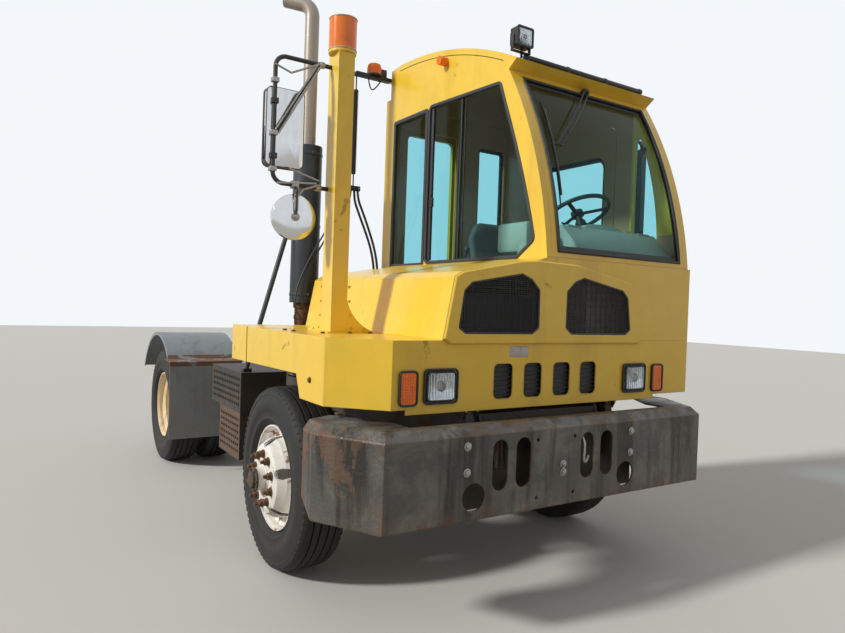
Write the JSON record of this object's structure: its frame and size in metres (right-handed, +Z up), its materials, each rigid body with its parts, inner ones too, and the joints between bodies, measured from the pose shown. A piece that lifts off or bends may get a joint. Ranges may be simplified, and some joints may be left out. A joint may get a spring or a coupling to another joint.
{
  "type": "terminal tractor",
  "caption": "Terminal tractor with an offset tilting cab, lifting fifth wheel boom, twin rear wheels, steel bumper and a tall exhaust stack.",
  "frame": {"origin": "on the ground under the middle of the vehicle's box", "axes": "+X to the vehicle's left, +Y to its rear, +Z up"},
  "size_m": [2.73, 5.02, 3.809],
  "materials": {
    "yellow_paint": "gloss",
    "chassis_paint": "satin",
    "bumper_steel": "worn",
    "rusty_steel": "rusted",
    "tyre_rubber": "matte",
    "white_wheel": "satin",
    "cream_wheel": "satin",
    "tank_aluminium": "brushed",
    "stack_steel": "heat stained",
    "fender_steel": "worn",
    "window_glass": "tinted",
    "mirror_finish": "polished",
    "lamp_lens": "clear",
    "amber_plastic": "gloss",
    "red_plastic": "gloss",
    "black_plastic": "matte",
    "dash_plastic": "matte",
    "seat_fabric": "woven",
    "polished_rod": "polished"
  },
  "bodies": {
    "chassis": {"frame_rails": "chassis_paint", "bumper": "bumper_steel", "engine_block": "chassis_paint", "driveline": "rusty_steel", "radiator": "tank_aluminium", "front_axle": "chassis_paint", "rear_axle": "chassis_paint", "air_tanks": "chassis_paint", "fuel_tank": "tank_aluminium", "step_box": "rusty_steel", "exhaust_stack": "stack_steel", "rear_fenders": "fender_steel", "tail_lamps": "red_plastic", "deck_plate": "chassis_paint"},
    "cab": {"cab_deck": "yellow_paint", "hood": "yellow_paint", "grille_panel": "yellow_paint", "cab_front": "yellow_paint", "cab_floor": "black_plastic", "cab_right_wall": "yellow_paint", "cab_left_wall": "yellow_paint", "cab_rear_wall": "yellow_paint", "cab_roof": "yellow_paint", "cab_glass": "window_glass", "dash": "dash_plastic", "steering_wheel": "black_plastic", "seat": "seat_fabric", "mirror_post": "yellow_paint", "mirrors": "mirror_finish", "headlamps": "lamp_lens", "amber_lamps": "amber_plastic", "wiper": "black_plastic", "hose_hanger": "black_plastic", "air_hoses": "black_plastic"},
    "left_door": {"left_door": "yellow_paint", "left_door_glass": "window_glass"},
    "rear_door": {"rear_door": "yellow_paint", "rear_door_glass": "window_glass"},
    "boom": {"boom": "chassis_paint"},
    "fifth_wheel": {"fifth_wheel": "rusty_steel"},
    "lift_barrels": {"lift_barrels": "chassis_paint"},
    "lift_rods": {"lift_rods": "polished_rod"},
    "knuckle_left": {"knuckle_left": "chassis_paint"},
    "front_wheel_left": {"front_wheel_left": "white_wheel", "front_tyre_left": "tyre_rubber"},
    "rear_wheels_left": {"rear_wheels_left": "cream_wheel", "rear_tyres_left": "tyre_rubber"},
    "knuckle_right": {"knuckle_right": "chassis_paint"},
    "front_wheel_right": {"front_wheel_right": "white_wheel", "front_tyre_right": "tyre_rubber"},
    "rear_wheels_right": {"rear_wheels_right": "cream_wheel", "rear_tyres_right": "tyre_rubber"}
  },
  "joints": [
    {"name": "cab_tilt", "type": "hinge", "parent": "chassis", "child": "cab", "pos_m": [0, -2.275, 1.005], "axis": [1, 0, 0], "range_deg": [0, 45]},
    {"name": "left_door_hinge", "type": "hinge", "parent": "cab", "child": "left_door", "pos_m": [1.23, -1.707, 2.1], "axis": [0, 0, -1], "range_deg": [0, 75]},
    {"name": "rear_door_slide", "type": "slide", "parent": "cab", "child": "rear_door", "axis": [1, 0, 0], "range_m": [0, 0.52]},
    {"name": "steer_left", "type": "hinge", "parent": "chassis", "child": "knuckle_left", "pos_m": [0.92, -1.323, 0.525], "axis": [0, 0, 1], "range_deg": [-38, 38]},
    {"name": "steer_right", "type": "hinge", "parent": "chassis", "child": "knuckle_right", "pos_m": [-0.92, -1.323, 0.525], "axis": [0, 0, 1], "range_deg": [-38, 38]},
    {"name": "front_spin_left", "type": "hinge", "parent": "knuckle_left", "child": "front_wheel_left", "pos_m": [1.06, -1.323, 0.525], "axis": [1, 0, 0], "continuous": true},
    {"name": "front_spin_right", "type": "hinge", "parent": "knuckle_right", "child": "front_wheel_right", "pos_m": [-1.06, -1.323, 0.525], "axis": [1, 0, 0], "continuous": true},
    {"name": "rear_spin_left", "type": "hinge", "parent": "chassis", "child": "rear_wheels_left", "pos_m": [0.896, 1.623, 0.525], "axis": [1, 0, 0], "continuous": true},
    {"name": "rear_spin_right", "type": "hinge", "parent": "chassis", "child": "rear_wheels_right", "pos_m": [-0.896, 1.623, 0.525], "axis": [1, 0, 0], "continuous": true},
    {"name": "boom_lift", "type": "hinge", "parent": "chassis", "child": "boom", "pos_m": [0, 0.13, 0.985], "axis": [1, 0, 0], "range_deg": [0, 17]},
    {"name": "plate_tilt", "type": "hinge", "parent": "boom", "child": "fifth_wheel", "pos_m": [0, 1.475, 1.095], "axis": [1, 0, 0], "range_deg": [-12, 10]},
    {"name": "lift_barrel_swing", "type": "hinge", "parent": "chassis", "child": "lift_barrels", "pos_m": [0, 0.48, 0.64], "axis": [1, 0, 0], "range_deg": [0, 18.5]},
    {"name": "lift_rod_slide", "type": "slide", "parent": "lift_barrels", "child": "lift_rods", "axis": [0, 0.8297, 0.5582], "range_m": [0, 0.155]}
  ],
  "couplings": [
    {"joint": "steer_right", "follows": "steer_left", "ratio": 1},
    {"joint": "lift_barrel_swing", "follows": "boom_lift", "ratio": 1.045},
    {"joint": "lift_rod_slide", "follows": "boom_lift", "m_per_rad": 0.489}
  ]
}
